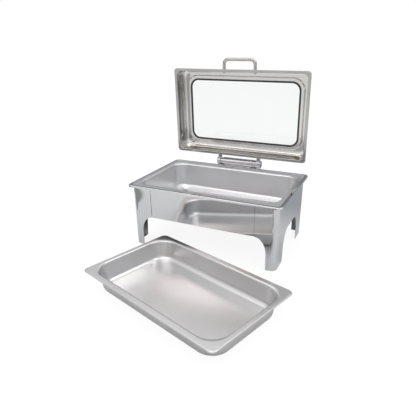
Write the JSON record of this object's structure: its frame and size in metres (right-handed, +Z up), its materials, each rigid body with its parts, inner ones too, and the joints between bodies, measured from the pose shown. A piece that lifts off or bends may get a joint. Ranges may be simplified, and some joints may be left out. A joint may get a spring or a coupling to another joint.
{
  "type": "roll top chafer",
  "caption": "Full size buffet chafer on a mirror polished stand, with a glazed lid on a damped rear hinge, a drop-in water pan and a separate food pan.",
  "frame": {"origin": "middle of the footprint of the whole set, at floor level", "axes": "+X to the right of the chafer, +Y from the food pan in front towards the hinge at the rear, +Z up"},
  "size_m": [0.6468, 0.8908, 0.6363],
  "materials": {
    "mirror_steel": "mirror polished stainless steel",
    "lid_steel": "polished stainless steel with a faint satin",
    "pan_steel": "satin stainless steel",
    "hinge_chrome": "polished",
    "fastener_steel": "plain stainless steel",
    "window_glass": "clear tempered glass",
    "seal_rubber": "black silicone",
    "rotor_nylon": "moulded"
  },
  "bodies": {
    "stand": {"bracket_nut_1": "fastener_steel", "bracket_nut_2": "fastener_steel", "bracket_nut_3": "fastener_steel", "bracket_nut_4": "fastener_steel", "bracket_screw_1": "fastener_steel", "bracket_screw_2": "fastener_steel", "bracket_screw_3": "fastener_steel", "bracket_screw_4": "fastener_steel", "damper_cap_left": "fastener_steel", "damper_cap_right": "fastener_steel", "damper_collar": "hinge_chrome", "damper_tube": "hinge_chrome", "end_frame_left": "mirror_steel", "end_frame_right": "mirror_steel", "front_apron": "mirror_steel", "hinge_bracket": "hinge_chrome", "rear_apron": "mirror_steel", "shaft_seal_left": "seal_rubber", "shaft_seal_right": "seal_rubber", "splice_plate_front_left": "fastener_steel", "splice_plate_front_right": "fastener_steel", "splice_plate_rear_left": "fastener_steel", "splice_plate_rear_right": "fastener_steel", "top_frame": "mirror_steel", "water_pan": "pan_steel"},
    "lid": {"lid_shell": "lid_steel", "window_glass": "window_glass", "window_gasket": "seal_rubber", "window_ring": "lid_steel", "lid_handle": "lid_steel", "handle_screw_left": "fastener_steel", "handle_screw_right": "fastener_steel", "handle_washer_left": "fastener_steel", "handle_washer_right": "fastener_steel", "hinge_arm_left": "hinge_chrome", "hinge_arm_right": "hinge_chrome", "hinge_shaft": "fastener_steel", "damper_rotor": "rotor_nylon"},
    "food_pan": {"food_pan": "pan_steel"}
  },
  "joints": [
    {"name": "lid_hinge", "type": "hinge", "parent": "stand", "child": "lid", "pos_m": [-0.0444, 0.40515, 0.2425], "axis": [-1, 0, 0], "range_deg": [-87.66, 0]},
    {"name": "food_pan_lift", "type": "slide", "parent": "stand", "child": "food_pan", "axis": [0, 0, 1], "range_m": [0, 0.12]}
  ]
}
